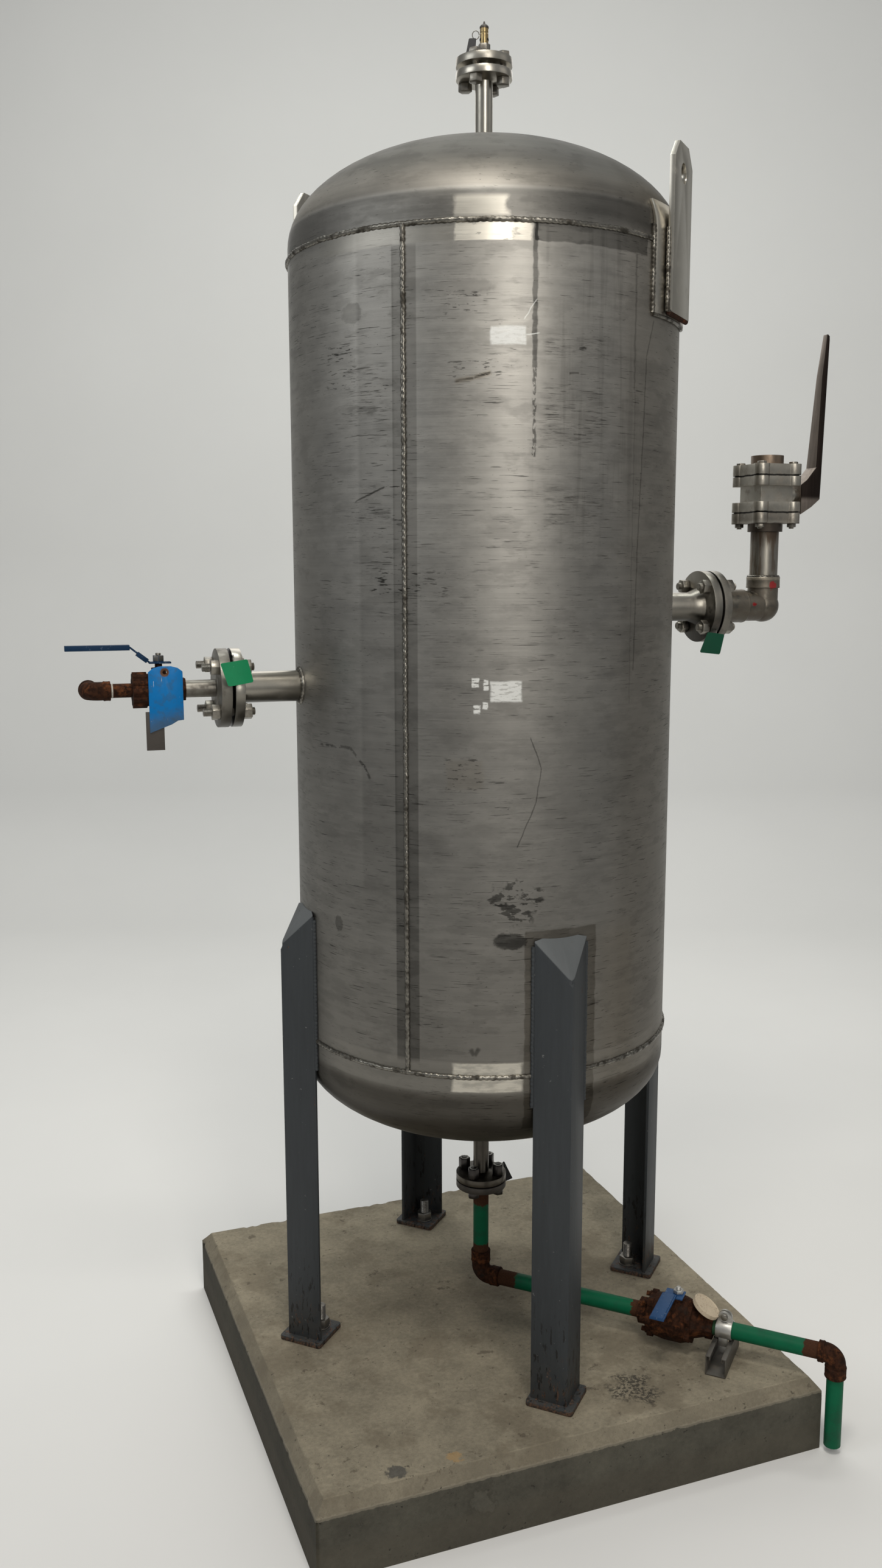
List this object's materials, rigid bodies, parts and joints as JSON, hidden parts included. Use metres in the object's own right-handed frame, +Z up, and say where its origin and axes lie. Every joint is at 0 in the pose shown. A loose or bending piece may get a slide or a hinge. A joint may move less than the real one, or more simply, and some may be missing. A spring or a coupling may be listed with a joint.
{
  "type": "vertical storage tank",
  "caption": "Stainless vertical storage tank with dished heads on angle legs, with flanged branches, ball valves and a drain line, on a raised concrete plinth.",
  "frame": {"origin": "On the tank's axis, in the flat underside of the plinth, where it meets the floor", "axes": "+X towards the branch with the upright valve, +Y away from the leg in front, +Z up the tank's axis"},
  "size_m": [1.6341, 1.0822, 2.7741],
  "materials": {
    "stainless": "weathered",
    "dull_steel": "weathered",
    "bright_steel": "satin",
    "blue_grey_paint": "weathered",
    "rusty_iron": "rusty",
    "green_paint": "worn",
    "valve_brass": "dull",
    "gasket_rubber": "matte",
    "blue_sleeve": "dusty",
    "blue_plate": "dirty",
    "concrete": "rough"
  },
  "bodies": {
    "tank": {"plinth": "concrete", "shell": "stainless", "top_head": "stainless", "bottom_head": "stainless", "leg_front": "blue_grey_paint", "leg_right": "blue_grey_paint", "leg_back": "blue_grey_paint", "leg_left": "blue_grey_paint", "foot_front": "blue_grey_paint", "foot_right": "blue_grey_paint", "foot_back": "blue_grey_paint", "foot_left": "blue_grey_paint", "lug_near": "stainless", "lug_far": "stainless", "top_nozzle": "dull_steel", "top_gasket": "gasket_rubber", "top_cover_flange": "dull_steel", "relief_valve": "valve_brass", "bottom_nozzle": "dull_steel", "bottom_gasket": "gasket_rubber", "drain_flange": "dull_steel", "drain_downpipe": "green_paint", "drain_elbow": "rusty_iron", "drain_run": "green_paint", "drain_valve": "rusty_iron", "drain_outlet": "green_paint", "outlet_elbow": "rusty_iron", "spout": "green_paint", "strut": "rusty_iron", "pipe_clamp": "bright_steel", "left_nozzle": "dull_steel", "left_gasket": "gasket_rubber", "left_reducing_flange": "dull_steel", "left_stub": "dull_steel", "left_valve": "rusty_iron", "left_nipple": "rusty_iron", "left_elbow": "rusty_iron", "tag_plate_blue": "blue_plate", "tag_plate_brown": "rusty_iron", "right_nozzle": "dull_steel", "right_gasket": "gasket_rubber", "right_companion_flange": "dull_steel", "right_elbow": "rusty_iron", "right_nipple": "dull_steel", "right_valve": "bright_steel"},
    "left_handle": {"left_lever": "blue_sleeve"},
    "right_handle": {"right_lever": "dull_steel"},
    "drain_handle": {"drain_lever": "blue_sleeve"}
  },
  "joints": [
    {"name": "left_valve_turn", "type": "hinge", "parent": "tank", "child": "left_handle", "pos_m": [-0.65211, 0.03417, 1.5697], "axis": [0, 0, 1], "range_deg": [0, 90]},
    {"name": "right_valve_turn", "type": "hinge", "parent": "tank", "child": "right_handle", "pos_m": [0.7454, 0, 1.904], "axis": [1, 0, 0], "range_deg": [0, 90]},
    {"name": "drain_valve_turn", "type": "hinge", "parent": "tank", "child": "drain_handle", "pos_m": [0.31325, -0.31325, 0.2615], "axis": [0, 0, -1], "range_deg": [0, 90]}
  ]
}
